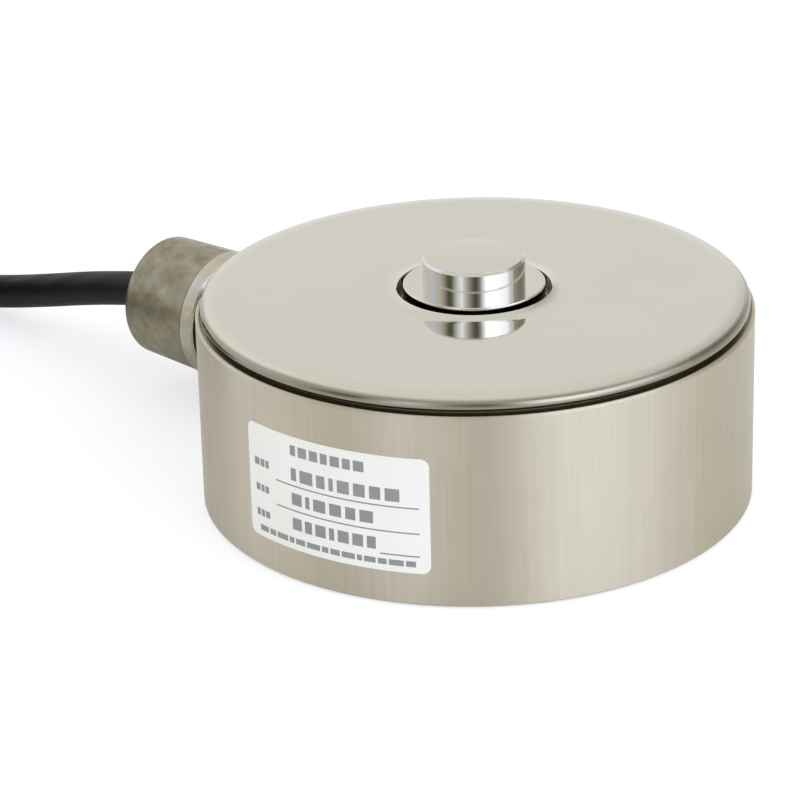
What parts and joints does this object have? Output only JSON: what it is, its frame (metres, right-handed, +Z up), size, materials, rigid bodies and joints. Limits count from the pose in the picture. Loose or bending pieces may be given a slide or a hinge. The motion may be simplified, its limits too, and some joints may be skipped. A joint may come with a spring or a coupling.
{
  "type": "strain gauge load cell",
  "caption": "Low compression load cell: flat round steel body, polished lid, central load button, side cable gland with a shielded signal cable, wound and tied",
  "frame": {"origin": "centre of the circle of tapped holes, in the plane of the base that the cell stands on or is bolted down by", "axes": "+Z points up through the load button, -X points out along the cable gland, and the label faces a way between -Y and +X"},
  "size_m": [0.2238, 0.1225, 0.036],
  "materials": {
    "satin_steel": "satin turned stainless steel",
    "polished_steel": "mirror polished stainless steel",
    "diaphragm_steel": "bright rolled stainless sheet",
    "cover_plate_steel": "faced stainless steel plate",
    "port_steel": "turned stainless steel",
    "screw_steel": "machine screw steel",
    "nickel_plated_brass": "nickel plated brass",
    "tarnished_nut_brass": "plated brass gone dull and warm in tone",
    "seal_rubber": "matt black nitrile rubber",
    "gauge_film": "amber carrier film with etched foil grids",
    "terminal_laminate": "green laminate with tinned pads",
    "enamelled_copper": "enamelled copper wire",
    "board_laminate": "green glass laminate with solder mask",
    "resistor_ceramic": "black chip resistor with tinned caps",
    "cable_jacket": "black extruded cable jacket",
    "boot_sleeve": "black heat shrunk sleeve",
    "tie_nylon_black": "black nylon tie band",
    "tie_nylon_natural": "natural nylon tie band",
    "core_red": "red core insulation",
    "core_black": "black core insulation",
    "core_green": "green core insulation",
    "core_white": "white core insulation",
    "screen_copper": "tinned copper screen wire",
    "ferrule_tin": "tin plated copper ferrule",
    "label_film": "white self-adhesive film with grey bars"
  },
  "bodies": {
    "root": {"spring_body": "satin_steel", "top_cover": "polished_steel", "seal_diaphragm": "diaphragm_steel", "load_button": "polished_steel", "bottom_cover": "cover_plate_steel", "bottom_oring": "seal_rubber", "cover_screw_1": "screw_steel", "cover_screw_2": "screw_steel", "cover_screw_3": "screw_steel", "cover_screw_4": "screw_steel", "cover_screw_5": "screw_steel", "cover_screw_6": "screw_steel", "strain_gauge_1": "gauge_film", "strain_gauge_2": "gauge_film", "strain_gauge_3": "gauge_film", "strain_gauge_4": "gauge_film", "gauge_terminal_1": "terminal_laminate", "gauge_terminal_2": "terminal_laminate", "gauge_terminal_3": "terminal_laminate", "gauge_terminal_4": "terminal_laminate", "gauge_lead_1": "enamelled_copper", "gauge_lead_2": "enamelled_copper", "gauge_lead_3": "enamelled_copper", "gauge_lead_4": "enamelled_copper", "bridge_board": "board_laminate", "board_screw": "screw_steel", "trim_resistor_1": "resistor_ceramic", "trim_resistor_2": "resistor_ceramic", "trim_resistor_3": "resistor_ceramic", "trim_resistor_4": "resistor_ceramic", "cable_port": "port_steel", "gland_gasket": "seal_rubber", "gland_body": "nickel_plated_brass", "gland_seal": "seal_rubber", "gland_washer": "tarnished_nut_brass", "gland_nut": "tarnished_nut_brass", "cable_jacket_end": "cable_jacket", "jacket_tie": "tie_nylon_natural", "signal_core_1": "core_red", "signal_core_2": "core_black", "signal_core_3": "core_green", "signal_core_4": "core_white", "rating_label": "label_film", "cable_run": "cable_jacket", "cable_coil": "cable_jacket", "coil_tie_1": "tie_nylon_black", "coil_tie_2": "tie_nylon_black", "cable_tail": "cable_jacket", "tail_boot": "boot_sleeve", "lead_core_1": "core_red", "lead_core_2": "core_black", "lead_core_3": "core_green", "lead_core_4": "core_white", "lead_core_5": "screen_copper", "ferrule_1": "ferrule_tin", "ferrule_2": "ferrule_tin", "ferrule_3": "ferrule_tin", "ferrule_4": "ferrule_tin", "ferrule_5": "ferrule_tin"}
  },
  "joints": []
}
